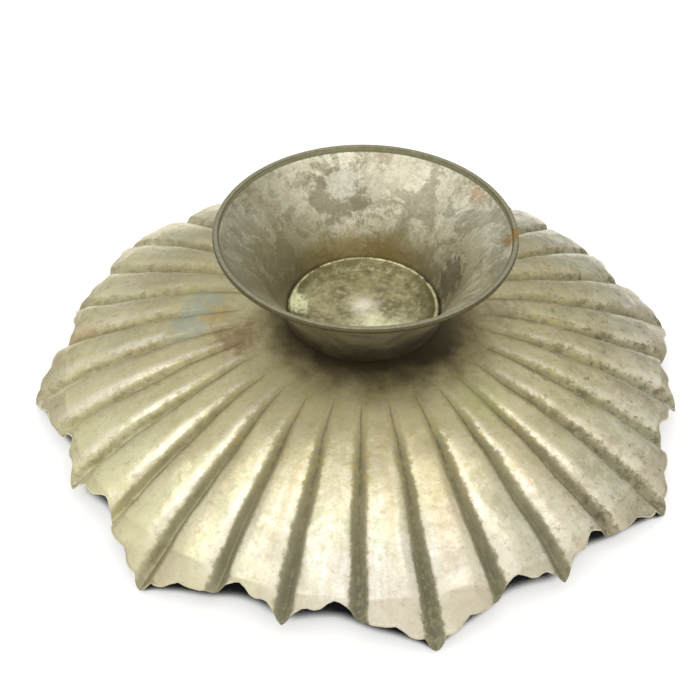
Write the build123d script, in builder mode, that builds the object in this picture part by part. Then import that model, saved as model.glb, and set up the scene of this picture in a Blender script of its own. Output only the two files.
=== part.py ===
import os
from math import cos, pi, radians, sin

from build123d import *

# A raised and fluted metal dish on a spun trumpet foot, standing upside down as photographed:
# the tips of its cut rim rest on the floor at zero height and the foot opens upwards.

# Driving dimensions, in millimetres.
tip_radius = 125.0
sheet_thickness = 0.9
seat_radius = 30.3
seat_height = 31.0
flute_start_radius = 44.6
flute_depth = 5.0
border_radius = 112.2
skirt_reach = 6.0

boss_radius = 6.2
boss_height = 1.3

neck_radius = 29.1
foot_height = 37.2
wire_outer_radius = 52.9
wire_radius = 1.15
wire_worn_depth = 0.15
wire_seat_depth = 0.45

ring_clearance = 0.1
ring_width = 6.0
ring_height = 2.3
ring_ridge_inset = 1.0
ring_toe_height = 0.3
ring_flank_height = 1.1
ring_flank_lean = 0.3

# Counts and shares of the pattern.
flute_count = 32
flutes_per_repeat = 4
radius_halvings = 40
fall_power_share = 1.6
border_fall_share = 0.12
section_radius_shares = [0.0, 0.07, 0.16, 0.28, 0.42, 0.58, 0.74, 0.88, 1.0]

# One flute in plan from groove to groove, as shares of the pitch and of the step from the
# groove's radius out to the crest's radius: a narrow channel with a soft bottom and a broad,
# nearly flat crest.
flute_curve_shares = [
    (0.0, 0.0),
    (0.05, 0.0),
    (0.06, 0.2),
    (0.09, 1.2),
    (0.13, 1.2),
    (0.25, 1.02),
    (0.50, 1.03),
    (0.75, 1.02),
    (0.87, 1.2),
    (0.91, 1.2),
    (0.94, 0.2),
    (0.95, 0.0),
]

# The seating ring's long inner slope, as a share of its width in from the outer side and a
# share of its height.
ring_slope_shares = (0.55, 0.42)

# The foot's outer wall from the neck up to the wire, as (share of the flare, share of the
# rise, level width of the sheet as a share of its thickness).
flare_shares = [(0.0, 0.0, 1.05), (0.17, 0.31, 1.10), (0.50, 0.68, 1.22), (1.0, 1.0, 1.41)]

# The cut edge from a long tip to the next short tip, as (pitches from the long tip, share of
# the tip radius). Each run of points is one smooth piece of edge and the runs meet in corners.
long_tip_shares = [
    (-0.13, 0.981),
    (-0.10, 0.992),
    (-0.05, 0.9985),
    (0.0, 1.0),
    (0.05, 0.9985),
    (0.10, 0.992),
    (0.13, 0.981),
]
first_lobe_shares = [(0.13, 0.981), (0.21, 0.983), (0.30, 0.980), (0.39, 0.969), (0.45, 0.953)]
broad_lobe_shares = [
    (0.45, 0.953),
    (0.62, 0.955),
    (0.82, 0.948),
    (1.0, 0.927),
    (1.17, 0.911),
    (1.32, 0.904),
    (1.45, 0.917),
]
small_lobe_shares = [(1.45, 0.917), (1.59, 0.927), (1.72, 0.922)]
short_tip_shares = [
    (1.72, 0.922),
    (1.84, 0.936),
    (1.93, 0.949),
    (2.0, 0.953),
    (2.07, 0.949),
    (2.16, 0.936),
    (2.28, 0.922),
]

flute_pitch = radians(360.0) / flute_count
boss_curve = (boss_radius**2 + boss_height**2) / (boss_height + boss_height)


def groove_height(radius):
    """Height of the outer surface along a groove."""
    fall = seat_height - sheet_thickness
    reach = (radius - seat_radius) / (tip_radius - seat_radius)
    return seat_height - fall * reach**fall_power_share


def crest_height(radius):
    """Height of the outer surface halfway between two grooves, which flattens in the border."""
    reach = (radius - flute_start_radius) / (tip_radius - flute_start_radius)
    reach = min(max(reach, 0), 1)
    border_fall = border_fall_share * max(radius - border_radius, 0)
    return groove_height(radius) + flute_depth * sin(pi / 2 * reach) - border_fall


def crest_radius(height):
    """Radius at which the crest has come down to a height."""
    low, high = seat_radius, tip_radius + tip_radius
    for _ in range(radius_halvings):
        middle = (low + high) / 2
        if crest_height(middle) > height:
            low = middle
        else:
            high = middle
    return low


def polar(radius, pitches):
    """A point in plan, counted in pitches from the front long tip."""
    angle = flute_pitch * pitches - pi / 2
    return (radius * cos(angle), radius * sin(angle))


# The outer form of the bowl: level sections, each a ring of flutes, joined smoothly.
with BuildPart() as dome:
    for share in section_radius_shares:
        groove_radius = seat_radius + (tip_radius + skirt_reach - seat_radius) * share
        height = groove_height(groove_radius)
        step = crest_radius(height) - groove_radius
        with BuildSketch(Plane.XY.offset(height)):
            with BuildLine():
                for flute in range(flute_count):
                    curve = [
                        polar(groove_radius + step * out, flute + across)
                        for across, out in flute_curve_shares
                    ]
                    Bezier(*curve, polar(groove_radius, flute + 1))
            make_face()
    loft()

# The cut edge in plan, taller than the bowl.
with BuildPart() as edge_cutter:
    with BuildSketch(Plane.XY):
        with BuildLine():
            for repeat in range(flute_count // flutes_per_repeat):
                start = repeat * flutes_per_repeat
                runs = [
                    long_tip_shares,
                    first_lobe_shares,
                    broad_lobe_shares,
                    small_lobe_shares,
                    short_tip_shares,
                ]
                for run in runs:
                    ahead = [polar(tip_radius * out, start + along) for along, out in run]
                    Spline(*ahead)
                for run in [small_lobe_shares, broad_lobe_shares, first_lobe_shares]:
                    end = start + flutes_per_repeat
                    back = [polar(tip_radius * out, end - along) for along, out in reversed(run)]
                    Spline(*back)
        make_face()
    extrude(amount=seat_height + boss_height)

# The raised middle of the underside, as a low cap standing on the seat.
with BuildPart() as boss:
    with BuildSketch(Plane.XZ):
        with BuildLine():
            Line((0, seat_height), (boss_radius, seat_height))
            RadiusArc((boss_radius, seat_height), (0, seat_height + boss_height), -boss_curve)
            Line((0, seat_height + boss_height), (0, seat_height))
        make_face()
    revolve(axis=Axis.Z)

# The bowl: one sheet, hammered to the same form inside and out.
with BuildPart() as fluted_bowl:
    add(dome.part)
    add(dome.part.moved(Location((0, 0, -sheet_thickness))), mode=Mode.SUBTRACT)
    add(edge_cutter.part, mode=Mode.INTERSECT)
    add(boss.part)
    add(boss.part.moved(Location((0, 0, -sheet_thickness))), mode=Mode.SUBTRACT)

# The foot: a spun trumpet of the same sheet, standing on the flat middle of the underside and
# ending square under the middle of the wire.
wire_centre_radius = wire_outer_radius - wire_radius
wire_centre_height = seat_height + foot_height + wire_worn_depth - wire_radius
flare_top_height = wire_centre_height - wire_radius + wire_seat_depth
flare_outer_radius = wire_centre_radius + sheet_thickness * flare_shares[-1][-1] / 2

outer_wall = []
inner_wall = []
for out, rise, width in flare_shares:
    wall_radius = neck_radius + (flare_outer_radius - neck_radius) * out
    wall_height = seat_height + (flare_top_height - seat_height) * rise
    outer_wall.append((wall_radius, wall_height))
    inner_wall.append((wall_radius - sheet_thickness * width, wall_height))

with BuildPart() as foot:
    with BuildSketch(Plane.XZ):
        with BuildLine():
            Spline(*outer_wall)
            Line(outer_wall[-1], inner_wall[-1])
            Spline(*reversed(inner_wall))
            Line(inner_wall[0], outer_wall[0])
        make_face()
    revolve(axis=Axis.Z)

# The wired edge of the foot: round, seated flat on the trumpet's end and worn flat on top.
with BuildPart() as foot_wire:
    with BuildSketch(Plane.XZ):
        with Locations((wire_centre_radius, wire_centre_height)):
            Circle(wire_radius)
        with Locations((wire_centre_radius, flare_top_height)):
            Rectangle(
                wire_radius + wire_radius,
                seat_height + foot_height - flare_top_height,
                align=(Align.CENTER, Align.MIN),
                mode=Mode.INTERSECT,
            )
    revolve(axis=Axis.Z)

# The raised seating ring inside the neck, where the foot is joined to the bowl. Its flank leans
# out with the trumpet's wall, and inside its ridge it falls in a long slope to a low toe.
ring_outer_radius = inner_wall[0][0] - ring_clearance
ring_inner_radius = ring_outer_radius - ring_width
flank_edge = (ring_outer_radius + ring_flank_lean, seat_height + ring_flank_height)
toe_edge = (ring_inner_radius, seat_height + ring_toe_height)
slope_in, slope_up = ring_slope_shares
with BuildPart() as neck_ring:
    with BuildSketch(Plane.XZ):
        with BuildLine():
            Polyline(
                toe_edge,
                (ring_inner_radius, seat_height),
                (ring_outer_radius, seat_height),
                flank_edge,
            )
            Spline(
                flank_edge,
                (ring_outer_radius - ring_ridge_inset, seat_height + ring_height),
                (ring_outer_radius - ring_width * slope_in, seat_height + ring_height * slope_up),
                toe_edge,
            )
        make_face()
    revolve(axis=Axis.Z)

fluted_bowl.part.label = "fluted_bowl"
foot.part.label = "foot"
foot_wire.part.label = "foot_wire"
neck_ring.part.label = "neck_ring"

os.makedirs("parts", exist_ok=True)
export_step(fluted_bowl.part, "parts/fluted_bowl.step")
export_step(foot.part, "parts/foot.step")
export_step(foot_wire.part, "parts/foot_wire.step")
export_step(neck_ring.part, "parts/neck_ring.step")
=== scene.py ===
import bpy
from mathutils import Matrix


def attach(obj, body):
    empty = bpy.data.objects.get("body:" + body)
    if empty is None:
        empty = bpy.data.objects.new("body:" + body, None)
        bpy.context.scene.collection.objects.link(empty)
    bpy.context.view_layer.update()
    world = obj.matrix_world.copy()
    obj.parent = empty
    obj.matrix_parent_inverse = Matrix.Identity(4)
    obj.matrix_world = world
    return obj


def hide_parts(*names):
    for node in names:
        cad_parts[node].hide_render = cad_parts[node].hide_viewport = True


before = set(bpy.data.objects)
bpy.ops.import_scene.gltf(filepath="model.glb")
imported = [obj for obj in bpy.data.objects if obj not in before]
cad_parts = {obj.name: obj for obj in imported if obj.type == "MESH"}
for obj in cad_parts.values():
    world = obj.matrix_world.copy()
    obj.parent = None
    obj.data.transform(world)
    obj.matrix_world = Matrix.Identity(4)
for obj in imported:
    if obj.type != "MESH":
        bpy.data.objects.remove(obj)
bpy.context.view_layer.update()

import math

import bmesh
import bpy
from mathutils import Matrix, Vector

mm = 0.001

# The view: a hand-held camera 0.4 m away, looking down at the upturned dish from the front, a
# little to the left of the long tip at the front and level to within a degree.
view_turn = Matrix.Rotation(math.radians(-10.3), 3, "Z")
view_fall = math.radians(43.7)
view_roll = math.radians(0.6)
view_distance = 399.9 * mm
view_target = view_turn @ Vector((-4.95 * mm, 9.53 * mm, 0))
photo_pixels = 700
focal_pixels = 1000
sensor_width = 36
view_back = view_turn @ Vector((0, -math.cos(view_fall), math.sin(view_fall)))
view_right = view_turn @ Vector((1, 0, 0))
view_front = view_turn @ Vector((0, -1, 0))
level_up = view_back.cross(view_right)
tilted_right = view_right * math.cos(view_roll) + level_up * math.sin(view_roll)
tilted_up = level_up * math.cos(view_roll) - view_right * math.sin(view_roll)

lens = bpy.data.cameras.new("view")
lens.sensor_width = sensor_width
lens.lens = sensor_width * focal_pixels / photo_pixels
lens.clip_start = 10 * mm
camera = bpy.data.objects.new("view", lens)
bpy.context.collection.objects.link(camera)
axes = Matrix((tilted_right, tilted_up, view_back)).transposed().to_4x4()
camera.matrix_world = Matrix.Translation(view_target + view_back * view_distance) @ axes
bpy.context.scene.camera = camera


# The bowl: one sheet of brass, raised and hammered into 32 flutes, its edge sawn to eight long
# tips with lobes between them, then silver plated. The underside is the side that shows.
tip_radius = 125.0 * mm
sheet = 0.9 * mm
seat_radius = 30.3 * mm
seat_height = 31.0 * mm
flute_start = 44.6 * mm
flute_depth = 5.0 * mm
border_radius = 112.2 * mm
border_step = 0.15 * mm
border_step_width = 0.9 * mm
border_fall = 0.12
edge_bevel = 0.25 * mm
boss_radius = 8.0 * mm
boss_height = 1.3 * mm
fall_power = 1.6
repeats = 8
flutes_per_repeat = 4
flute_pitch = math.tau / (repeats * flutes_per_repeat)

# A flute across, in shares of its pitch from the groove: a channel with steep walls, rounded
# shoulders and a nearly flat crown. The walls rise by what the other two leave of the depth.
channel_floor = 0.01
channel_edge = 0.135
shoulder_edge = 0.37
shoulder_share = 0.34
crown_share = 0.13

# The cut edge from a long tip to the next short tip: pitches from the long tip and shares of
# the tip radius.
cut_edge = [
    (0.0, 1.0),
    (0.045, 0.9988),
    (0.07, 0.9970),
    (0.095, 0.9932),
    (0.12, 0.986),
    (0.13, 0.981),
    (0.17, 0.9825),
    (0.21, 0.983),
    (0.26, 0.982),
    (0.30, 0.980),
    (0.35, 0.9755),
    (0.39, 0.969),
    (0.425, 0.961),
    (0.45, 0.953),
    (0.53, 0.955),
    (0.62, 0.955),
    (0.72, 0.9525),
    (0.82, 0.948),
    (0.91, 0.939),
    (1.0, 0.927),
    (1.08, 0.918),
    (1.17, 0.911),
    (1.25, 0.9055),
    (1.32, 0.904),
    (1.39, 0.9085),
    (1.45, 0.917),
    (1.52, 0.925),
    (1.59, 0.927),
    (1.66, 0.9255),
    (1.72, 0.922),
    (1.78, 0.929),
    (1.84, 0.936),
    (1.93, 0.949),
    (2.0, 0.953),
]


def share_between(value, low, high):
    """A smooth share from 0 at the first limit to 1 at the second."""
    part = min(1.0, max(0.0, (value - low) / (high - low)))
    return part * part * (3 - 2 * part)


def edge_reach(pitches):
    """Radius of the cut edge, read from its table with straight runs."""
    half_repeat = flutes_per_repeat / 2
    along = abs((pitches + half_repeat) % flutes_per_repeat - half_repeat)
    for (x0, y0), (x1, y1) in zip(cut_edge, cut_edge[1:]):
        if along <= x1:
            return tip_radius * (y0 + (y1 - y0) * (along - x0) / (x1 - x0))
    return tip_radius * cut_edge[-1][1]


def from_groove(pitches):
    """How far a place lies from the nearest groove, in pitches."""
    return abs((pitches + 0.5) % 1 - 0.5)


def flute_lift(pitches):
    """How far the flute has risen from its groove to its crest, from 0 to 1."""
    across = from_groove(pitches)
    wall = share_between(across, channel_floor, channel_edge)
    shoulder = 1 - (1 - min(1.0, across / shoulder_edge)) ** 2
    crown = 1 - (1 - 2 * across) ** 2
    wall_share = 1 - shoulder_share - crown_share
    return wall_share * wall + shoulder_share * shoulder + crown_share * crown


def bowl_height(radius, pitches):
    """Height of the underside of the bowl."""
    fall = max(0.0, (radius - seat_radius) / (tip_radius - seat_radius))
    height = seat_height - (seat_height - sheet) * fall**fall_power
    reach = min(1.0, max(0.0, (radius - flute_start) / (tip_radius - flute_start)))
    lift = flute_lift(pitches)
    height += flute_depth * math.sin(math.pi / 2 * reach) * lift
    if radius < boss_radius:
        height += boss_height * (0.5 + 0.5 * math.cos(math.pi * radius / boss_radius))
    past_border = max(0.0, radius - border_radius)
    height -= lift * border_step * (1 - math.exp(-past_border / border_step_width))
    return height - lift * border_fall * past_border


def new_object(name, mesh):
    """Puts a mesh into the scene as an object."""
    made = bpy.data.objects.new(name, mesh)
    bpy.context.collection.objects.link(made)
    return made


# Rows of points out to the border, in millimetres from the axis, then in shares of what is left
# up to the bevel of the edge; columns across a flute, in shares of its pitch.
inner_rows = [0.0, 1.2, 2.6, 4.0, 5.2, 6.0, 6.6, 8.0, 11.0, 15.0, 19.0, 23.0, 26.5, 29.0, 30.3]
inner_rows += [32.5, 35.5, 38.5, 41.5, 44.0, 46.5, 49.5, 53.0, 57.0, 61.0, 65.0, 69.0, 73.0]
inner_rows += [77.0, 81.0, 85.0, 89.0, 93.0, 97.0, 100.5, 104.0, 107.0, 109.5, 111.2, 111.9, 112.2]
outer_rows = [0.08, 0.2, 0.36, 0.55, 0.75, 0.92]
half_flute = [0.0, 0.02, 0.045, 0.07, 0.095, 0.12, 0.145, 0.17, 0.2, 0.25, 0.32, 0.41]
flute_columns = half_flute + [0.5] + [1 - across for across in reversed(half_flute[1:])]
columns = [flute + across for flute in range(flutes_per_repeat) for across in flute_columns]
columns.append(float(flutes_per_repeat))

# Masks for the material, painted on the points in shares of a flute's pitch: the channel's
# film, which spreads wider near the foot, the channel's middle and the flute's two shoulders.
film_core = 0.045
film_reach = 0.20
film_spread = 0.09
middle_reach = 0.055

corners = []
painted = {"in_groove": [], "groove_middle": [], "low_shoulder": [], "high_shoulder": []}
for side in (0, 1):
    for pitches in columns:
        angle = flute_pitch * pitches - math.pi / 2
        reach = edge_reach(pitches)
        bevel_start = reach - edge_bevel
        radii = [row * mm for row in inner_rows]
        radii += [border_radius + (bevel_start - border_radius) * row for row in outer_rows]
        radii.append(bevel_start)
        heights = [bowl_height(radius, pitches) - side * sheet for radius in radii]
        if side == 0:
            radii.append(reach)
            heights.append(bowl_height(reach, pitches) - sheet / 2)
        for radius, height in zip(radii, heights):
            corners.append((radius * math.cos(angle), radius * math.sin(angle), height))
            across = from_groove(pitches)
            spread = film_reach + film_spread * share_between(radius, 96 * mm, 62 * mm)
            groove = 1 - share_between(across, film_core, spread)
            painted["in_groove"].append(groove * share_between(radius, 38 * mm, 60 * mm))
            painted["groove_middle"].append(1 - share_between(across, 0.0, middle_reach))
            along = share_between(radius, 43 * mm, 55 * mm)
            along *= share_between(radius, 119 * mm, 109 * mm)
            for name, share in (("low_shoulder", pitches % 1), ("high_shoulder", -pitches % 1)):
                band = share_between(share, 0.09, 0.16) * share_between(share, 0.36, 0.26)
                painted[name].append(band * along)
rows = len(inner_rows) + len(outer_rows) + 1
upper = rows + 1
under_start = upper * len(columns)
quads = []
for column in range(len(columns) - 1):
    here = column * upper
    there = here + upper
    below = under_start + column * rows
    beyond = below + rows
    for row in range(rows):
        quads.append((here + row, here + row + 1, there + row + 1, there + row))
    for row in range(rows - 1):
        quads.append((below + row, beyond + row, beyond + row + 1, below + row + 1))
    quads.append((here + rows, below + rows - 1, beyond + rows - 1, there + rows))
repeat_mesh = bpy.data.meshes.new("fluted_bowl_repeat")
repeat_mesh.from_pydata(corners, [], quads)
for name, values in painted.items():
    repeat_mesh.attributes.new(name, "FLOAT", "POINT").data.foreach_set("value", values)
bowl = new_object("bowl_sheet", repeat_mesh)


def add(tree, kind, inputs=None, out=0, **settings):
    """Adds a node, sets its options, fills or links its inputs, and gives back one output."""
    node = tree.nodes.new(kind)
    for name, value in settings.items():
        setattr(node, name, value)
    for name, value in (inputs or {}).items():
        if isinstance(value, bpy.types.NodeSocket):
            tree.links.new(value, node.inputs[name])
        else:
            node.inputs[name].default_value = value
    return node.outputs[out]


def colour(text):
    """A colour written as sRGB hex, as linear values."""
    parts = [int(text[i : i + 2], 16) / 255 for i in (1, 3, 5)]
    linear = [c / 12.92 if c <= 0.04045 else ((c + 0.055) / 1.055) ** 2.4 for c in parts]
    return (*linear, 1.0)


def new_material(name):
    """An empty node material, and its tree."""
    material = bpy.data.materials.new(name)
    material.use_nodes = True
    material.node_tree.nodes.clear()
    return material, material.node_tree


def in_plan(tree, place):
    """A place with its height left out."""
    parts = add(tree, "ShaderNodeSeparateXYZ", {0: place}).node.outputs
    return add(tree, "ShaderNodeCombineXYZ", {0: parts[0], 1: parts[1]})


def patches(tree, place, size, low, high, detail=5.0, rough=0.6, warp=0.0):
    """A ragged mask of patches of a real size, from none at the low level to full at the high."""
    inputs = {"Vector": place, "Scale": 1 / size, "Detail": detail}
    inputs |= {"Roughness": rough, "Distortion": warp}
    cloud = add(tree, "ShaderNodeTexNoise", inputs)
    inputs = {0: cloud, 1: low, 2: high}
    return add(tree, "ShaderNodeMapRange", inputs, interpolation_type="SMOOTHSTEP")


def spot(tree, place, middle, size, ragged, soft=0.3):
    """A mask round a point given in millimetres, with its outline broken up by noise."""
    inputs = {0: place, 1: tuple(part * mm for part in middle)}
    apart = add(tree, "ShaderNodeVectorMath", inputs, out="Value", operation="DISTANCE")
    inputs = {"Vector": place, "Scale": 3 / size, "Detail": 5.0, "Roughness": 0.65}
    rough = add(tree, "ShaderNodeTexNoise", inputs)
    inputs = {0: rough, 1: -4 * ragged * size, 2: apart}
    moved = add(tree, "ShaderNodeMath", inputs, operation="MULTIPLY_ADD")
    far = size * (1 - 2 * ragged)
    inputs = {0: moved, 1: far, 2: far - size * soft}
    return add(tree, "ShaderNodeMapRange", inputs, interpolation_type="SMOOTHSTEP")


def streaked(tree, flat, along, radius, width, length):
    """Coordinates for streaks that are so wide round the axis at a radius, and so long."""
    around = add(tree, "ShaderNodeVectorMath", {0: flat}, operation="NORMALIZE")
    inputs = {0: around, "Scale": radius / width}
    turned = add(tree, "ShaderNodeVectorMath", inputs, operation="SCALE")
    run = add(tree, "ShaderNodeMath", {0: along, 1: 1 / length}, operation="MULTIPLY")
    lengthways = add(tree, "ShaderNodeCombineXYZ", {2: run})
    return add(tree, "ShaderNodeVectorMath", {0: turned, 1: lengthways}, operation="ADD")


def lay(tree, under, layers):
    """Lays colours over one another, each as (mask, strength, colour), in hex or as a socket."""
    under = colour(under) if isinstance(under, str) else under
    for mask, strength, over in layers:
        over = colour(over) if isinstance(over, str) else over
        share = add(tree, "ShaderNodeMath", {0: mask, 1: strength}, operation="MULTIPLY")
        inputs = {0: share, 6: under, 7: over}
        under = add(tree, "ShaderNodeMix", inputs, out=2, data_type="RGBA")
    return under


def end_as_metal(tree, base, bareness, dullness, relief, strength, depth):
    """Ends a material: metal where it is bare, film where it isn't, with its relief as bump."""
    inputs = {"Strength": strength, "Distance": depth, "Height": relief}
    bump = add(tree, "ShaderNodeBump", inputs)
    inputs = {"Base Color": base, "Metallic": bareness, "Roughness": dullness, "Normal": bump}
    shader = add(tree, "ShaderNodeBsdfPrincipled", inputs)
    tree.links.new(shader, tree.nodes.new("ShaderNodeOutputMaterial").inputs["Surface"])


# Old silver plate over brass, worn by polishing: it gives broad soft reflections, cream where it
# is rubbed, yellow-green and olive where the tarnish film lies, nearly matt in the channels. Some
# highlights and shade are painted into its colour too, as said where they are laid.
bowl_plate, tree = new_material("worn silver plate with olive tarnish")
place = add(tree, "ShaderNodeTexCoord", out="Object")
flat = in_plan(tree, place)
out_from_axis = add(tree, "ShaderNodeVectorMath", {0: flat}, out="Value", operation="LENGTH")
# To the left and to the front as seen in the photograph, 0 at the axis and 1 at the tips.
to_left = add(
    tree,
    "ShaderNodeVectorMath",
    {0: flat, 1: -view_right / tip_radius},
    out="Value",
    operation="DOT_PRODUCT",
)
to_front = add(
    tree,
    "ShaderNodeVectorMath",
    {0: flat, 1: view_front / tip_radius},
    out="Value",
    operation="DOT_PRODUCT",
)
# Streaks run out along the flutes, 26 mm long and 85 mm from the axis they are 1.4 mm across.
streak_place = streaked(tree, flat, out_from_axis, 85 * mm, 1.4 * mm, 26 * mm)
streaks = patches(tree, streak_place, 1.0, 0.42, 0.62, detail=3.0)
clouds = patches(tree, place, 42 * mm, 0.42, 0.60, warp=0.5)
warm_clouds = patches(tree, streak_place, 6.0, 0.46, 0.58, detail=4.0)
far_place = add(tree, "ShaderNodeVectorMath", {0: place, 1: (0.4, 0.7, 0.2)}, operation="ADD")
green_clouds = patches(tree, far_place, 13 * mm, 0.48, 0.56, rough=0.68, warp=0.6)
brown_clouds = patches(tree, far_place, 7 * mm, 0.51, 0.61, rough=0.76)
blotches = patches(tree, place, 9 * mm, 0.48, 0.56, rough=0.70, warp=0.7)
mottle = patches(tree, place, 3.4 * mm, 0.46, 0.58, detail=4.0, rough=0.72)
specks = patches(tree, place, 1.9 * mm, 0.48, 0.60, detail=3.0, rough=0.7)
# The real grain is finer than a pixel, so it is drawn 1.2 mm coarse to show.
grains = patches(tree, place, 1.2 * mm, 0.46, 0.62, detail=2.0, rough=0.7)
left_side = add(
    tree, "ShaderNodeMapRange", {0: to_left, 1: -0.05, 2: 0.75}, interpolation_type="SMOOTHSTEP"
)
right_side = add(
    tree, "ShaderNodeMapRange", {0: to_left, 1: -0.15, 2: -0.75}, interpolation_type="SMOOTHSTEP"
)
far_side = add(
    tree, "ShaderNodeMapRange", {0: to_front, 1: 0.15, 2: -0.6}, interpolation_type="SMOOTHSTEP"
)
rim_side = add(
    tree,
    "ShaderNodeMapRange",
    {0: out_from_axis, 1: 82 * mm, 2: 112 * mm},
    interpolation_type="SMOOTHSTEP",
)
far_rim = add(tree, "ShaderNodeMath", {0: far_side, 1: rim_side}, operation="MULTIPLY")
left_rim = add(tree, "ShaderNodeMath", {0: left_side, 1: rim_side}, operation="MULTIPLY")
# The front was rubbed most evenly, so its mottling is fainter.
rubbed_even = add(
    tree,
    "ShaderNodeMapRange",
    {0: to_front, 1: 0.25, 2: 0.70, 3: 1.0, 4: 0.60},
    interpolation_type="SMOOTHSTEP",
)
blotches = add(tree, "ShaderNodeMath", {0: blotches, 1: rubbed_even}, operation="MULTIPLY")
mottle = add(tree, "ShaderNodeMath", {0: mottle, 1: rubbed_even}, operation="MULTIPLY")
green_clouds = add(tree, "ShaderNodeMath", {0: green_clouds, 1: rubbed_even}, operation="MULTIPLY")

# The film in the channels, tarnish with painted shade, has a ragged edge.
raw_groove = add(tree, "ShaderNodeAttribute", out="Fac", attribute_name="in_groove")
broken = add(
    tree,
    "ShaderNodeTexNoise",
    {"Vector": place, "Scale": 1 / (2.6 * mm), "Detail": 6.0, "Roughness": 0.75},
)
ragged_groove = add(
    tree, "ShaderNodeMath", {0: broken, 1: 2.2, 2: raw_groove}, operation="MULTIPLY_ADD"
)
groove = add(
    tree, "ShaderNodeMapRange", {0: ragged_groove, 1: 1.32, 2: 1.84}, interpolation_type="SMOOTHSTEP"
)
near_groove = add(
    tree, "ShaderNodeMapRange", {0: ragged_groove, 1: 1.12, 2: 1.44}, interpolation_type="SMOOTHSTEP"
)
# It is darkest at the front, where it is partly painted shade, and faint at the sides.
faint_at_left = add(tree, "ShaderNodeMath", {0: left_side, 1: -0.85, 2: 1.0}, operation="MULTIPLY_ADD")
inputs = {0: right_side, 1: -0.60, 2: faint_at_left}
faint_at_sides = add(tree, "ShaderNodeMath", inputs, operation="MULTIPLY_ADD")
groove = add(tree, "ShaderNodeMath", {0: groove, 1: faint_at_sides}, operation="MULTIPLY")
# It is thin near the foot and full from 76 mm out.
thickness = add(
    tree,
    "ShaderNodeMapRange",
    {0: out_from_axis, 1: 46 * mm, 2: 76 * mm, 3: 0.42, 4: 1.0},
    interpolation_type="SMOOTHSTEP",
)
groove = add(tree, "ShaderNodeMath", {0: groove, 1: thickness}, operation="MULTIPLY")
# The middle of each channel is darkened further with painted shade.
groove_middle = add(tree, "ShaderNodeAttribute", out="Fac", attribute_name="groove_middle")
groove_middle = add(tree, "ShaderNodeMath", {0: groove, 1: groove_middle}, operation="MULTIPLY")
# A thin dark line follows each channel's middle from near the foot and fades out by 92 mm.
thin_line = add(tree, "ShaderNodeAttribute", out="Fac", attribute_name="groove_middle")
for start, end in ((45, 51), (92, 66)):
    line_zone = add(
        tree,
        "ShaderNodeMapRange",
        {0: out_from_axis, 1: start * mm, 2: end * mm},
        interpolation_type="SMOOTHSTEP",
    )
    thin_line = add(tree, "ShaderNodeMath", {0: thin_line, 1: line_zone}, operation="MULTIPLY")
deep_groove = add(tree, "ShaderNodeMath", {0: groove, 1: rim_side}, operation="MULTIPLY")
groove_specks = add(tree, "ShaderNodeMath", {0: groove, 1: specks}, operation="MULTIPLY")
# Up to 96 mm out the channels' lips are worn in yellowish specks.
worn_zone = add(
    tree,
    "ShaderNodeMapRange",
    {0: out_from_axis, 1: 96 * mm, 2: 66 * mm},
    interpolation_type="SMOOTHSTEP",
)
worn_lips = add(tree, "ShaderNodeMath", {0: worn_zone, 1: specks}, operation="MULTIPLY")
worn_lips = add(tree, "ShaderNodeMath", {0: worn_lips, 1: near_groove}, operation="MULTIPLY")
worn_lips = add(
    tree, "ShaderNodeMath", {0: worn_lips, 1: thin_line}, operation="SUBTRACT", use_clamp=True
)
# On the right, and less on the left, they are darker in broken lines, 4 mm to a piece.
dark_broken_lines = patches(tree, place, 4 * mm, 0.49, 0.58, rough=0.80)
dark_broken_lines = add(tree, "ShaderNodeMath", {0: dark_broken_lines, 1: near_groove}, operation="MULTIPLY")
dark_lines_zone = add(
    tree, "ShaderNodeMath", {0: left_side, 1: 0.45, 2: right_side}, operation="MULTIPLY_ADD"
)
dark_broken_lines = add(tree, "ShaderNodeMath", {0: dark_broken_lines, 1: dark_lines_zone}, operation="MULTIPLY")
right_blotches = patches(tree, far_place, 11 * mm, 0.48, 0.60, rough=0.78)
right_blotches = add(
    tree, "ShaderNodeMath", {0: right_blotches, 1: right_side}, operation="MULTIPLY"
)

# Of each flute's two shoulders, the one that faces the front is painted pale: rubbed metal
# with a painted highlight.
shoulder_highlight_and_rub = 0.0
for name, turn_in in (("low_shoulder", -1), ("high_shoulder", 1)):
    band = add(tree, "ShaderNodeAttribute", out="Fac", attribute_name=name)
    facing = add(
        tree,
        "ShaderNodeMapRange",
        {0: to_left, 1: 0.10 * turn_in, 2: 0.34 * turn_in},
        interpolation_type="SMOOTHSTEP",
    )
    shoulder_highlight_and_rub = add(
        tree, "ShaderNodeMath", {0: band, 1: facing, 2: shoulder_highlight_and_rub}, operation="MULTIPLY_ADD"
    )
inputs = {0: shoulder_highlight_and_rub, 1: patches(tree, place, 16 * mm, 0.36, 0.50, rough=0.7)}
shoulder_highlight_and_rub = add(tree, "ShaderNodeMath", inputs, operation="MULTIPLY")
reached = add(
    tree,
    "ShaderNodeMapRange",
    {0: to_front, 1: -0.20, 2: 0.15, 3: 0.15, 4: 1.0},
    interpolation_type="SMOOTHSTEP",
)
inputs = {0: right_side, 1: -0.45, 2: reached}
reached = add(tree, "ShaderNodeMath", inputs, operation="MULTIPLY_ADD")
shoulder_highlight_and_rub = add(
    tree, "ShaderNodeMath", {0: shoulder_highlight_and_rub, 1: reached}, operation="MULTIPLY", use_clamp=True
)
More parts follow.
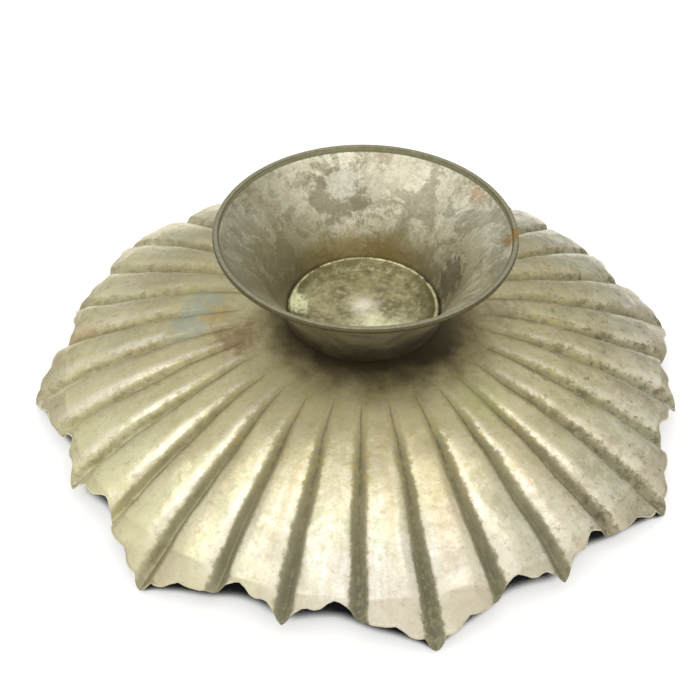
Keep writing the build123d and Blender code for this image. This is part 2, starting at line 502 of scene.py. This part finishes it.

# Dirt lies deepest against the foot, where a cloth doesn't reach, and painted shade is laid with it
# where the foot meets the bowl, strongest at the front. It ends about 50 mm from the axis, a
# little further out at the front and on the right.
inputs = {"Vector": place, "Scale": 1 / (9 * mm), "Detail": 5.0, "Roughness": 0.6}
wander = add(tree, "ShaderNodeTexNoise", inputs)
warped_out = add(
    tree, "ShaderNodeMath", {0: wander, 1: 16 * mm, 2: out_from_axis}, operation="MULTIPLY_ADD"
)
inputs = {0: to_left, 1: 12 * mm, 2: warped_out}
less_left = add(tree, "ShaderNodeMath", inputs, operation="MULTIPLY_ADD")
inputs = {0: to_front, 1: -9 * mm, 2: less_left}
dirt_and_shade_out = add(tree, "ShaderNodeMath", inputs, operation="MULTIPLY_ADD")
round_foot = add(
    tree,
    "ShaderNodeMapRange",
    {0: dirt_and_shade_out, 1: 58 * mm, 2: 43 * mm},
    interpolation_type="SMOOTHSTEP",
)
against_foot = add(
    tree,
    "ShaderNodeMapRange",
    {0: dirt_and_shade_out, 1: 50 * mm, 2: 37 * mm},
    interpolation_type="SMOOTHSTEP",
)
front_or_side = add(
    tree, "ShaderNodeMapRange", {0: to_front, 1: -0.10, 2: 0.20, 3: 0.45, 4: 0.95}
)
foot_dirt_and_shade = add(tree, "ShaderNodeMath", {0: round_foot, 1: front_or_side}, operation="MULTIPLY")
outside_foot = add(tree, "ShaderNodeMapRange", {0: out_from_axis, 1: 28 * mm, 2: 29 * mm})
foot_dirt_and_shade = add(tree, "ShaderNodeMath", {0: foot_dirt_and_shade, 1: outside_foot}, operation="MULTIPLY")
against_foot = add(tree, "ShaderNodeMath", {0: against_foot, 1: foot_dirt_and_shade}, operation="MULTIPLY")
in_foot = add(tree, "ShaderNodeMapRange", {0: out_from_axis, 1: 29 * mm, 2: 28 * mm})

# A yellowish film fades out from the foot and ends about 104 mm from the axis. Within 76 mm it
# is paler, but darker at the sides, and within 68 mm it is thick enough to be matt.
film_round_foot = add(
    tree,
    "ShaderNodeMapRange",
    {0: warped_out, 1: 84 * mm, 2: 56 * mm},
    interpolation_type="SMOOTHSTEP",
)
wide_film = add(
    tree,
    "ShaderNodeMapRange",
    {0: warped_out, 1: 112 * mm, 2: 80 * mm},
    interpolation_type="SMOOTHSTEP",
)
matt_film = add(
    tree,
    "ShaderNodeMapRange",
    {0: warped_out, 1: 76 * mm, 2: 60 * mm, 3: 0.0, 4: front_or_side},
    interpolation_type="SMOOTHSTEP",
)
side_film = add(tree, "ShaderNodeMath", {0: left_side, 1: right_side}, operation="ADD")
side_film = add(tree, "ShaderNodeMath", {0: side_film, 1: film_round_foot}, operation="MULTIPLY")
right_near = add(tree, "ShaderNodeMath", {0: right_side, 1: matt_film}, operation="MULTIPLY")
# Outside the crease the border is darker in broad patches.
border = add(tree, "ShaderNodeMapRange", {0: out_from_axis, 1: 111.9 * mm, 2: 112.8 * mm})
border_patch = add(
    tree,
    "ShaderNodeMath",
    {0: border, 1: patches(tree, place, 34 * mm, 0.36, 0.58)},
    operation="MULTIPLY",
)

# Single stains, and on the boss painted highlights over rubbed metal, where the photograph
# shows them.
rim_tint = spot(tree, place, (-111.0, 22.0, 12.0), 18 * mm, 0.6, 0.8)
rust_by_foot = spot(tree, place, (-47.5, -7.0, 29.2), 12 * mm, 0.5, 0.9)
blue_far = spot(tree, place, (-57.2, 16.4, 27.8), 12 * mm, 0.5, 0.8)
blue_near = spot(tree, place, (-66.1, 6.1, 26.6), 12 * mm, 0.5, 0.8)
orange = spot(tree, place, (-54.0, 8.8, 28.4), 8 * mm, 0.6, 0.8)
green_right = spot(tree, place, (30.9, -48.9, 27.6), 13 * mm, 0.6, 0.8)
bruise_right = spot(tree, place, (50.3, -8.3, 28.8), 11 * mm, 0.7, 0.8)
# Painted highlights: a pale glow on the boss and a broader one in front of it.
boss_highlight = spot(tree, place, (0.2, 1.6, 32.2), 8.5 * mm, 0.25, 1.0)
boss_front_highlight = spot(tree, place, (3.0, -12.0, 31.0), 12.5 * mm, 0.4, 0.9)


def disc_film(tree, place):
    """The film on the disc inside the foot, which runs on up the seating ring's slope."""
    layers = [
        (patches(tree, place, 12 * mm, 0.38, 0.62, warp=0.5), 0.75, "#7B7556"),
        (patches(tree, place, 5 * mm, 0.40, 0.68, rough=0.7), 0.62, "#625C42"),
        (patches(tree, place, 2.2 * mm, 0.50, 0.60, detail=3.0, rough=0.7), 0.55, "#D6D0AC"),
        (patches(tree, place, 1.1 * mm, 0.47, 0.62, detail=2.0), 0.30, "#6A6447"),
    ]
    return lay(tree, "#BCB68E", layers)


bowl_layers = [
    (left_side, 0.90, "#D9DAAB"),
    (right_side, 0.85, "#CBC9A6"),
    (far_side, 0.60, "#DEDCC6"),
    (far_rim, 0.70, "#F8F5E8"),
    (warm_clouds, 0.62, "#E0C2AC"),
    (green_clouds, 0.55, "#BFC896"),
    (clouds, 0.34, "#CFCBA8"),
    (blotches, 0.36, "#BDB894"),
    (brown_clouds, 0.40, "#A0946C"),
    (streaks, 0.26, "#ADA684"),
    (mottle, 0.36, "#ADA782"),
    (grains, 0.18, "#96906E"),
    (rim_side, 0.30, "#F3F1EA"),
    (left_rim, 0.60, "#E8E2AE"),
    (border_patch, 0.50, "#C2B79E"),
    (wide_film, 0.66, "#C2B992"),
    (film_round_foot, 0.30, "#DAD0A4"),
    # painted highlight on the rubbed shoulders facing the front
    (shoulder_highlight_and_rub, 0.58, "#EFEADC"),
    (near_groove, 0.25, "#B3AB84"),
    (groove, 0.80, "#928D6C"),
    (deep_groove, 0.65, "#70705C"),
    (groove_middle, 0.55, "#625E45"),
    (thin_line, 0.60, "#6B6243"),
    (groove_specks, 0.55, "#A9A384"),
    (worn_lips, 0.60, "#BDAD66"),
    (dark_broken_lines, 0.75, "#6C674C"),
    (right_blotches, 0.35, "#8C8566"),
    (side_film, 0.50, "#928C68"),
    (right_near, 0.55, "#77704F"),
    (green_right, 0.35, "#A9B06A"),
    (bruise_right, 0.45, "#77715A"),
    (blue_far, 0.48, "#94A39A"),
    (blue_near, 0.48, "#9AA6A2"),
    (orange, 0.36, "#B8933F"),
    (rust_by_foot, 0.65, "#7E6038"),
    (rim_tint, 0.40, "#AE8E68"),
    # dirt with painted shade round the foot, darkest against it
    (foot_dirt_and_shade, 0.75, "#776C42"),
    (against_foot, 0.95, "#2E2512"),
    (in_foot, 1.0, disc_film(tree, place)),
    # painted highlights on the boss and in front of it
    (boss_front_highlight, 0.90, "#F2F2CA"),
    (boss_highlight, 0.95, "#FBF8EA"),
]
base = lay(tree, "#ECE7DE", bowl_layers)
# Film and dirt make the plate duller, rubbing makes it brighter.
dullness = 0.27
for mask, more in [
    (groove, 0.46),
    (blotches, 0.09),
    (mottle, 0.08),
    (foot_dirt_and_shade, 0.20),
    (shoulder_highlight_and_rub, -0.03),
    (matt_film, 0.22),
]:
    dullness = add(tree, "ShaderNodeMath", {0: mask, 1: more, 2: dullness}, operation="MULTIPLY_ADD")
bareness = add(tree, "ShaderNodeMath", {0: matt_film, 1: -0.50, 2: 1.0}, operation="MULTIPLY_ADD")
inputs = {0: groove, 1: -0.85, 2: bareness}
bareness = add(tree, "ShaderNodeMath", inputs, operation="MULTIPLY_ADD", use_clamp=True)
inputs = {"Vector": place, "Scale": 1 / (9 * mm), "Detail": 3.0, "Roughness": 0.5}
hammered = add(tree, "ShaderNodeTexNoise", inputs)
relief = add(tree, "ShaderNodeMath", {0: mottle, 1: -0.10, 2: hammered}, operation="MULTIPLY_ADD")
relief = add(tree, "ShaderNodeMath", {0: grains, 1: -0.02, 2: relief}, operation="MULTIPLY_ADD")
end_as_metal(tree, base, bareness, dullness, relief, 0.5, 0.35 * mm)

# One repeat of the pattern is turned eight times round the axis, welded, and then beaten a
# little out of true; the unevenness dies away at the foot and at the tips.
ring_inputs = [
    ("Repeats", "Int", repeats),
    ("Weld distance", "Float", 0.02 * mm),
    ("Unevenness", "Float", 2.4 * mm),
    ("Dent size", "Float", 24 * mm),
    ("Sway", "Float", 1.8 * mm),
    ("Bend size", "Float", 9 * mm),
    ("Seed", "Float", 4.0),
    ("Finish", "Material", bowl_plate),
]
ring_tree = bpy.data.node_groups.new("ring_of_repeats", "GeometryNodeTree")
sockets = ring_tree.interface
sockets.new_socket("Geometry", in_out="INPUT", socket_type="NodeSocketGeometry")
identifiers = {}
for name, kind, _ in ring_inputs:
    made = sockets.new_socket(name, in_out="INPUT", socket_type="NodeSocket" + kind)
    identifiers[name] = made.identifier
sockets.new_socket("Geometry", in_out="OUTPUT", socket_type="NodeSocketGeometry")
given = ring_tree.nodes.new("NodeGroupInput").outputs
points = add(ring_tree, "GeometryNodePoints", {"Count": given["Repeats"]})
step = add(ring_tree, "ShaderNodeMath", {0: math.tau, 1: given["Repeats"]}, operation="DIVIDE")
number = add(ring_tree, "GeometryNodeInputIndex")
turn = add(ring_tree, "ShaderNodeMath", {0: number, 1: step}, operation="MULTIPLY")
spin = add(ring_tree, "ShaderNodeCombineXYZ", {"Z": turn})
placed = add(
    ring_tree,
    "GeometryNodeInstanceOnPoints",
    {"Points": points, "Instance": given["Geometry"], "Rotation": spin},
)
real = add(ring_tree, "GeometryNodeRealizeInstances", {0: placed})
welded = add(
    ring_tree, "GeometryNodeMergeByDistance", {"Geometry": real, "Distance": given["Weld distance"]}
)
where = add(ring_tree, "GeometryNodeInputPosition")
inputs = {0: in_plan(ring_tree, where)}
out_by = add(ring_tree, "ShaderNodeVectorMath", inputs, out="Value", operation="LENGTH")
fade_in = add(
    ring_tree,
    "ShaderNodeMapRange",
    {0: out_by, 1: 31 * mm, 2: 50 * mm},
    interpolation_type="SMOOTHSTEP",
)
fade_out = add(
    ring_tree,
    "ShaderNodeMapRange",
    {0: out_by, 1: 123 * mm, 2: 108 * mm},
    interpolation_type="SMOOTHSTEP",
)
fade = add(ring_tree, "ShaderNodeMath", {0: fade_in, 1: fade_out}, operation="MULTIPLY")
# Dents move the sheet every way; the flutes also sway from side to side, in plan only.
uneven = welded
for size, reach, ways in [("Dent size", "Unevenness", (1, 1, 1)), ("Bend size", "Sway", (1, 1, 0))]:
    amount = add(ring_tree, "ShaderNodeMath", {0: fade, 1: given[reach]}, operation="MULTIPLY")
    inverse_size = add(ring_tree, "ShaderNodeMath", {0: 1.0, 1: given[size]}, operation="DIVIDE")
    wobble = add(
        ring_tree,
        "ShaderNodeTexNoise",
        {"W": given["Seed"], "Scale": inverse_size, "Detail": 2.0, "Roughness": 0.45},
        out="Color",
        noise_dimensions="4D",
    )
    centred = add(
        ring_tree, "ShaderNodeVectorMath", {0: wobble, 1: (0.5, 0.5, 0.5)}, operation="SUBTRACT"
    )
    allowed = add(ring_tree, "ShaderNodeVectorMath", {0: centred, 1: ways}, operation="MULTIPLY")
    offset = add(ring_tree, "ShaderNodeVectorMath", {0: allowed, "Scale": amount}, operation="SCALE")
    uneven = add(ring_tree, "GeometryNodeSetPosition", {"Geometry": uneven, "Offset": offset})
smooth = add(ring_tree, "GeometryNodeSetShadeSmooth", {"Geometry": uneven})
finished = add(
    ring_tree, "GeometryNodeSetMaterial", {"Geometry": smooth, "Material": given["Finish"]}
)
ring_tree.links.new(finished, ring_tree.nodes.new("NodeGroupOutput").inputs["Geometry"])

ring = bowl.modifiers.new("ring", "NODES")
ring.node_group = ring_tree
for name, _, value in ring_inputs:
    ring[identifiers[name]] = value
bpy.context.view_layer.update()
whole = bowl.evaluated_get(bpy.context.evaluated_depsgraph_get())
bowl_mesh = bpy.data.meshes.new_from_object(whole)
bowl.modifiers.clear()
bowl.data = bowl_mesh
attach(bowl, "root")
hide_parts("fluted_bowl")


# The foot: a trumpet of the same sheet, spun on a lathe and soldered by its narrow end to the
# flat middle of the underside. Its inside has been wiped with something wet and dried in runs.
neck_radius = 29.1 * mm
flare_radius = 52.38 * mm
flare_top = 66.5 * mm
flare_steps = 10
foot_turns = 200
# Its outer wall, as (share of the flare, share of the rise, level width in sheets).
flare = [(0.0, 0.0, 1.05), (0.17, 0.31, 1.10), (0.50, 0.68, 1.22), (1.0, 1.0, 1.41)]


def smooth_through(points, parts):
    """Points on a smooth line through the given ones."""
    first = [2 * a - b for a, b in zip(points[0], points[1])]
    last = [2 * a - b for a, b in zip(points[-1], points[-2])]
    line = [first] + [list(point) for point in points] + [last]
    found = []
    for i in range(1, len(line) - 2):
        for part in range(parts):
            t = part / parts
            found.append(
                [
                    b
                    + (c - a) * t / 2
                    + (2 * a - 5 * b + 4 * c - d) * t**2 / 2
                    + (3 * b - a - 3 * c + d) * t**3 / 2
                    for a, b, c, d in zip(*line[i - 1 : i + 3])
                ]
            )
    found.append(list(points[-1]))
    return found


def spun(name, profile, turns, material):
    """Turns a closed profile, given as radius and height, into a ring about the axis."""
    count = len(profile)
    places = []
    for turn_number in range(turns):
        angle = math.tau * turn_number / turns
        for radius, height in profile:
            places.append((radius * math.cos(angle), radius * math.sin(angle), height))
    faces = []
    for turn_number in range(turns):
        here = turn_number * count
        there = (turn_number + 1) % turns * count
        for i in range(count):
            j = (i + 1) % count
            faces.append((here + i, there + i, there + j, here + j))
    mesh = bpy.data.meshes.new(name)
    mesh.from_pydata(places, [], faces)
    shape = bmesh.new()
    shape.from_mesh(mesh)
    bmesh.ops.recalc_face_normals(shape, faces=shape.faces)
    shape.to_mesh(mesh)
    shape.free()
    for face in mesh.polygons:
        face.use_smooth = True
    mesh.materials.append(material)
    made = new_object(name, mesh)
    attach(made, "root")
    return made


outer_wall = []
inner_wall = []
for out, rise, width in smooth_through(flare, flare_steps):
    radius = neck_radius + (flare_radius - neck_radius) * out
    height = seat_height + (flare_top - seat_height) * rise
    outer_wall.append((radius, height))
    inner_wall.append((radius - sheet * width, height))

# Wiped plate inside the foot: pale dried smears over grey-olive film, with painted shade at the
# bottom; the outside is brown, darkened with painted shade where it meets the bowl. It hides the
# sheet's shine under a broken haze.
foot_plate, tree = new_material("smeared silver plate of the foot")
place = add(tree, "ShaderNodeTexCoord", out="Object")
flat = in_plan(tree, place)
height = add(tree, "ShaderNodeSeparateXYZ", {0: place}, out=2)
around = add(tree, "ShaderNodeVectorMath", {0: flat}, operation="NORMALIZE")
to_right = add(
    tree, "ShaderNodeVectorMath", {0: around, 1: view_right}, out="Value", operation="DOT_PRODUCT"
)
to_back = add(
    tree, "ShaderNodeVectorMath", {0: around, 1: -view_front}, out="Value", operation="DOT_PRODUCT"
)
# Smears run down the wall, 2 mm across and 17 mm long, over broader ones 7 mm across.
smear_place = streaked(tree, flat, height, 42 * mm, 1.6 * mm, 14 * mm)
smears = patches(tree, smear_place, 1.2, 0.44, 0.60, detail=3.0, warp=0.3)
broad_smears = patches(tree, smear_place, 4.5, 0.44, 0.58, detail=4.0, warp=0.4)
clouds = patches(tree, place, 19 * mm, 0.46, 0.55, rough=0.62, warp=0.8)
blotches = patches(tree, place, 12 * mm, 0.47, 0.55, rough=0.70, warp=0.6)
flakes = patches(tree, place, 7 * mm, 0.54, 0.58, rough=0.68, warp=0.5)
mottle = patches(tree, place, 3.0 * mm, 0.46, 0.60, detail=4.0, rough=0.70)
grains = patches(tree, place, 1.1 * mm, 0.46, 0.62, detail=2.0, rough=0.7)
# The bottom is darkened with painted shade and the top of the back wall is pale with a painted
# reflection, with a wavy line between them.
inputs = {"Vector": place, "Scale": 1 / (8 * mm), "Detail": 5.0, "Roughness": 0.65}
wavy = add(tree, "ShaderNodeTexNoise", inputs)
wavy_rise = add(tree, "ShaderNodeMath", {0: wavy, 1: 14 * mm, 2: height}, operation="MULTIPLY_ADD")
low_down = add(
    tree,
    "ShaderNodeMapRange",
    {0: wavy_rise, 1: 54 * mm, 2: 42 * mm},
    interpolation_type="SMOOTHSTEP",
)
back_wall = add(
    tree, "ShaderNodeMapRange", {0: to_back, 1: 0.45, 2: 0.95}, interpolation_type="SMOOTHSTEP"
)
high_up = add(
    tree,
    "ShaderNodeMapRange",
    {0: wavy_rise, 1: 53 * mm, 2: 62 * mm},
    interpolation_type="SMOOTHSTEP",
)
back_high = add(tree, "ShaderNodeMath", {0: back_wall, 1: high_up}, operation="MULTIPLY")
back_low = add(tree, "ShaderNodeMath", {0: back_wall, 1: low_down}, operation="MULTIPLY")
left_wall = add(
    tree, "ShaderNodeMapRange", {0: to_right, 1: -0.35, 2: -0.85}, interpolation_type="SMOOTHSTEP"
)
right_wall = add(
    tree, "ShaderNodeMapRange", {0: to_right, 1: 0.15, 2: 0.75}, interpolation_type="SMOOTHSTEP"
)
outside = add(tree, "ShaderNodeAttribute", out="Fac", attribute_name="outside")
# Low on the outside, towards the bowl, the brown is darkened with painted shade.
outside_low = add(
    tree,
    "ShaderNodeMapRange",
    {0: wavy_rise, 1: 56 * mm, 2: 42 * mm},
    interpolation_type="SMOOTHSTEP",
)
outside_low = add(tree, "ShaderNodeMath", {0: outside_low, 1: outside}, operation="MULTIPLY")
dark_round_flake = spot(tree, place, (-3.0, 40.5, 55.5), 13 * mm, 0.5)
white_flake = spot(tree, place, (-1.2, 41.8, 58.0), 7.0 * mm, 0.42, 0.25)
second_flake = spot(tree, place, (14.5, 41.5, 58.5), 9 * mm, 0.7)
rust_right = spot(tree, place, (48.5, -12.1, 65.0), 4.5 * mm, 0.6, 0.7)
rust_back = spot(tree, place, (45.5, 18.6, 64.0), 5.5 * mm, 0.7, 0.7)
rust_top = spot(tree, place, (16.0, 47.0, 65.0), 5.5 * mm, 0.7, 0.7)
bruise = spot(tree, place, (31.8, -1.6, 41.3), 9 * mm, 0.6)
foot_layers = [
    (right_wall, 0.60, "#EFEBD8"),
    (clouds, 0.40, "#B0AB8D"),
    (left_wall, 0.65, "#8B866B"),
    (broad_smears, 0.25, "#A8A284"),
    (back_high, 0.35, "#E0DDC8"),
    (smears, 0.12, "#989272"),
    (blotches, 0.50, "#8A856B"),
    (flakes, 0.30, "#E0DDCA"),
    (mottle, 0.20, "#8C866A"),
    (low_down, 0.38, "#807957"),
    (back_low, 0.55, "#AE9246"),
    (dark_round_flake, 0.75, "#857F69"),
    (second_flake, 0.60, "#DCD8C4"),
    (white_flake, 0.90, "#E2DFD0"),
    (bruise, 0.55, "#625B4C"),
    (rust_right, 0.60, "#A8741C"),
    (rust_back, 0.50, "#A8782C"),
    (rust_top, 0.45, "#846430"),
    (grains, 0.22, "#7B7458"),
    (outside, 0.72, "#ABA38A"),
    (outside_low, 0.80, "#554B31"),
]
base = lay(tree, "#E7E4D0", foot_layers)
dullness = 0.42
for mask, more in [(blotches, 0.12), (white_flake, 0.25), (low_down, 0.12)]:
    dullness = add(tree, "ShaderNodeMath", {0: mask, 1: more, 2: dullness}, operation="MULTIPLY_ADD")
relief = wavy
for mask, more in [(flakes, 0.35), (white_flake, 0.5), (grains, -0.06)]:
    relief = add(tree, "ShaderNodeMath", {0: mask, 1: more, 2: relief}, operation="MULTIPLY_ADD")
end_as_metal(tree, base, 0.92, dullness, relief, 0.5, 0.22 * mm)

foot_piece = spun("foot_trumpet", outer_wall + inner_wall[::-1], foot_turns, foot_plate)
outside_share = foot_piece.data.attributes.new("outside", "FLOAT", "POINT")
wall_points = len(outer_wall) + len(inner_wall)
for index in range(len(foot_piece.data.vertices)):
    outside_share.data[index].value = 1.0 if index % wall_points < len(outer_wall) else 0.0
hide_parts("foot")


# The wired edge of the foot: the sheet's end is closed over a round wire, which keeps the edge
# stiff and has worn flat where the dish stands.
wire_radius = 1.15 * mm
wire_middle = (51.75 * mm, 67.2 * mm)
wire_top = 68.2 * mm
wire_steps = 20
lip_steps = 10
lip_stand = 0.1 * mm

# Handled edge: greyer than the walls, with painted shade under the bead on the outside and a
# painted highlight along its inner lip.
wire_plate, tree = new_material("handled plate of the wired edge")
place = add(tree, "ShaderNodeTexCoord", out="Object")
flat = in_plan(tree, place)
height = add(tree, "ShaderNodeSeparateXYZ", {0: place}, out=2)
out_from_axis = add(tree, "ShaderNodeVectorMath", {0: flat}, out="Value", operation="LENGTH")
clouds = patches(tree, place, 15 * mm, 0.42, 0.58)
mottle = patches(tree, place, 2.6 * mm, 0.43, 0.60, rough=0.7)
grains = patches(tree, place, 1.1 * mm, 0.46, 0.62, detail=2.0, rough=0.7)
outer_side = add(tree, "ShaderNodeMapRange", {0: out_from_axis, 1: 51.9 * mm, 2: 52.6 * mm})
inputs = {0: flat, 1: view_front / flare_radius}
to_front = add(tree, "ShaderNodeVectorMath", inputs, out="Value", operation="DOT_PRODUCT")
inputs = {0: to_front, 1: -0.2, 2: 0.6}
front_edge = add(tree, "ShaderNodeMapRange", inputs, interpolation_type="SMOOTHSTEP")
# Painted shade under the bead on the outside.
under_side = add(tree, "ShaderNodeMapRange", {0: height, 1: 67.3 * mm, 2: 66.8 * mm})
worn_top = add(tree, "ShaderNodeMapRange", {0: height, 1: 68.05 * mm, 2: 68.18 * mm})
# Painted highlight on the inner lip, below the wire.
lip = add(tree, "ShaderNodeMapRange", {0: height, 1: 68.0 * mm, 2: 67.3 * mm})
lip = add(tree, "ShaderNodeMath", {0: lip, 1: outer_side}, operation="SUBTRACT", use_clamp=True)
under_side = add(tree, "ShaderNodeMath", {0: under_side, 1: outer_side}, operation="MULTIPLY")
rust_right = spot(tree, place, (50.5, -12.5, 67.5), 4 * mm, 0.6)
wire_layers = [
    (front_edge, 0.70, "#736F57"),
    (clouds, 0.50, "#6B674C"),
    (mottle, 0.40, "#5F5A42"),
    (outer_side, 0.75, "#5F5942"),
    (worn_top, 0.50, "#BEBBA2"),
    (under_side, 0.80, "#4C462E"),
    (lip, 0.65, "#C3C4A6"),
    (rust_right, 0.60, "#A8741C"),
    (grains, 0.25, "#6A6246"),
]
base = lay(tree, "#7B775D", wire_layers)
dullness = add(tree, "ShaderNodeMath", {0: mottle, 1: 0.14, 2: 0.40}, operation="MULTIPLY_ADD")
bareness = add(tree, "ShaderNodeMath", {0: lip, 1: -0.45, 2: 0.95}, operation="MULTIPLY_ADD")
end_as_metal(tree, base, bareness, dullness, mottle, 0.4, 0.15 * mm)

wire_profile = []
for step_number in range(wire_steps + 1):
    angle = math.pi * step_number / wire_steps
    radius = wire_middle[0] + wire_radius * math.cos(angle)
    height = wire_middle[1] + wire_radius * math.sin(angle)
    wire_profile.append((radius, min(wire_top, height)))
# Inside, the sheet runs from the wall up over the wire in one sweep, without a gap.
lip_start = wire_profile[-1]
lip_end = [0.65 * a + 0.35 * b for a, b in zip(inner_wall[-1], inner_wall[-2])]
lip_end = (lip_end[0] + lip_stand, lip_end[1])
lip_bend = (lip_start[0], lip_end[1] + (lip_start[0] - lip_end[0]) * 0.9)
for step_number in range(1, lip_steps + 1):
    part = step_number / lip_steps
    shares = ((1 - part) ** 2, 2 * part * (1 - part), part**2)
    bends = (lip_start, lip_bend, lip_end)
    wire_profile.append(tuple(sum(s * p[i] for s, p in zip(shares, bends)) for i in (0, 1)))
wire_profile.append(tuple((a + b) / 2 for a, b in zip(inner_wall[-2], outer_wall[-2])))
wire_profile.append((wire_middle[0], flare_top))
wire_profile.append((wire_middle[0] + wire_radius * 0.8, flare_top))
wire_piece = spun("foot_wired_edge", wire_profile, foot_turns, wire_plate)
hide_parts("foot_wire")


# The seating ring: a raised lip inside the neck where the trumpet is joined to the bowl. It
# falls in a long slope to the disc, and its ridge is painted bright: rubbed metal with a painted
# highlight.
ring_turns = 160
ring_steps = 4
# Its outline, in millimetres from the axis and above the flat middle of the bowl.
ring_outline = [
    (28.05, 0.0),
    (28.30, 1.1),
    (27.75, 2.0),
    (27.1, 2.3),
    (26.5, 2.15),
    (25.2, 1.45),
    (23.8, 0.85),
    (22.6, 0.42),
    (21.6, 0.14),
    (20.9, 0.03),
    (20.8, 0.0),
]
ring_profile = []
for out, rise in smooth_through(ring_outline, ring_steps):
    ring_profile.append((out * mm, seat_height + rise * mm))

# Rubbed lip: pale yellow metal on the ridge with a painted highlight, grey-green film on its
# slope, and one streaky painted highlight on the left.
ring_plate, tree = new_material("rubbed lip of the joint")
place = add(tree, "ShaderNodeTexCoord", out="Object")
rise = add(tree, "ShaderNodeSeparateXYZ", {0: place}, out=2)
blotches = patches(tree, place, 5 * mm, 0.47, 0.57, rough=0.7, warp=0.6)
ridge = add(
    tree,
    "ShaderNodeMapRange",
    {0: rise, 1: seat_height + 1.95 * mm, 2: seat_height + 2.25 * mm},
    interpolation_type="SMOOTHSTEP",
)
below_ridge = add(
    tree,
    "ShaderNodeMapRange",
    {0: rise, 1: seat_height + 0.3 * mm, 2: seat_height + 1.5 * mm},
    interpolation_type="SMOOTHSTEP",
)
inputs = {0: ridge, 1: patches(tree, place, 6 * mm, 0.40, 0.52, rough=0.7)}
ridge = add(tree, "ShaderNodeMath", inputs, operation="MULTIPLY")
# A painted highlight on the left, where the ring's inner wall catches the light.
left_painted_highlight = spot(tree, place, (-24.5, 5.5, 32.0), 8 * mm, 0.5, 0.8)
inputs = {0: left_painted_highlight, 1: patches(tree, place, 2.4 * mm, 0.34, 0.50, rough=0.75)}
left_painted_highlight = add(tree, "ShaderNodeMath", inputs, operation="MULTIPLY")
joint_layers = [
    (1.0, 0.35, "#6E6844"),
    (below_ridge, 0.65, "#5E5838"),
    (ridge, 0.85, "#E2DDB4"),
    (blotches, 0.40, "#6B6545"),
    (left_painted_highlight, 0.95, "#F1F4C8"),
]
base = lay(tree, disc_film(tree, place), joint_layers)
dullness = add(tree, "ShaderNodeMath", {0: blotches, 1: 0.15, 2: 0.32}, operation="MULTIPLY_ADD")
bareness = add(tree, "ShaderNodeMath", {0: left_painted_highlight, 1: -0.55, 2: 1.0}, operation="MULTIPLY_ADD")
end_as_metal(tree, base, bareness, dullness, blotches, 0.4, 0.15 * mm)
ring_piece = spun("neck_seating_ring", ring_profile, ring_turns, ring_plate)
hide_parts("neck_ring")


# The table: a plain white sweep that takes the dish's soft shadow, which is dark only close under
# the raised edge, where an occlusion mask paints shadow into its colour and its glow. Seen
# directly or in the metal it is lifted to white paper.
table_half = 20.0
table_drop = 0.4 * mm
shadow_reach = 60 * mm
paper_glow = 0.52
table_sides = [(-1, -1), (1, -1), (1, 1), (-1, 1)]
table_corners = [(x * table_half, y * table_half, -table_drop) for x, y in table_sides]
table_mesh = bpy.data.meshes.new("table")
table_mesh.from_pydata(table_corners, [], [(0, 1, 2, 3)])
table = new_object("table", table_mesh)
paper, tree = new_material("white paper")
inputs = {"Distance": shadow_reach}
open_sky = add(tree, "ShaderNodeAmbientOcclusion", inputs, out="AO", samples=48)
clear_of_painted_shadow = add(tree, "ShaderNodeMapRange", {0: open_sky, 1: 0.33, 2: 0.41, 3: 0.01, 4: 1.0})
inputs = {0: clear_of_painted_shadow, 6: (0, 0, 0, 1), 7: colour("#C9C9C7")}
shaded = add(tree, "ShaderNodeMix", inputs, out=2, data_type="RGBA")
matt = add(tree, "ShaderNodeBsdfDiffuse", {"Color": shaded})
lift = add(tree, "ShaderNodeMath", {0: clear_of_painted_shadow, 1: paper_glow}, operation="MULTIPLY")
glow = add(tree, "ShaderNodeEmission", {"Color": (1, 1, 1, 1), "Strength": lift})
both = add(tree, "ShaderNodeAddShader", {0: matt, 1: glow})
path = tree.nodes.new("ShaderNodeLightPath").outputs
seen = path["Is Camera Ray"]
for ray in ("Is Glossy Ray", "Is Transmission Ray"):
    seen = add(tree, "ShaderNodeMath", {0: seen, 1: path[ray]}, operation="MAXIMUM")
chosen = add(tree, "ShaderNodeMixShader", {0: seen, 1: matt, 2: both})
tree.links.new(chosen, tree.nodes.new("ShaderNodeOutputMaterial").inputs["Surface"])
table_mesh.materials.append(paper)

# The light: a white tent, brightest overhead and in front, darker low down at the sides and the
# back, with one broad soft lamp a metre above.
world = bpy.data.worlds.new("tent")
bpy.context.scene.world = world
world.use_nodes = True
tree = world.node_tree
tree.nodes.clear()
way = add(tree, "ShaderNodeTexCoord", out="Generated")
height_part = add(tree, "ShaderNodeSeparateXYZ", {0: way}, out=2)
level_high = add(
    tree,
    "ShaderNodeMapRange",
    {0: height_part, 1: 0.05, 2: 0.62, 3: 0.42, 4: 0.92},
    interpolation_type="SMOOTHSTEP",
)
front_part = add(
    tree, "ShaderNodeVectorMath", {0: way, 1: view_front}, out="Value", operation="DOT_PRODUCT"
)
level_front = add(
    tree,
    "ShaderNodeMapRange",
    {0: front_part, 1: 0.0, 2: 0.9, 3: 0.0, 4: 0.42},
    interpolation_type="SMOOTHSTEP",
)
level = add(tree, "ShaderNodeMath", {0: level_high, 1: level_front}, operation="ADD")
sky = add(tree, "ShaderNodeBackground", {"Color": colour("#FFFDF8"), "Strength": level})
tree.links.new(sky, tree.nodes.new("ShaderNodeOutputWorld").inputs["Surface"])

lamp_data = bpy.data.lights.new("overhead", "AREA")
lamp_data.shape = "RECTANGLE"
lamp_data.size = 1.2
lamp_data.size_y = 0.45
lamp_data.energy = 1.7
lamp = bpy.data.objects.new("overhead", lamp_data)
bpy.context.collection.objects.link(lamp)
lamp.location = view_turn @ Vector((-0.10, -0.03, 1.0))
lamp.rotation_euler = view_turn.to_euler()

bpy.context.scene.view_settings.view_transform = "Standard"
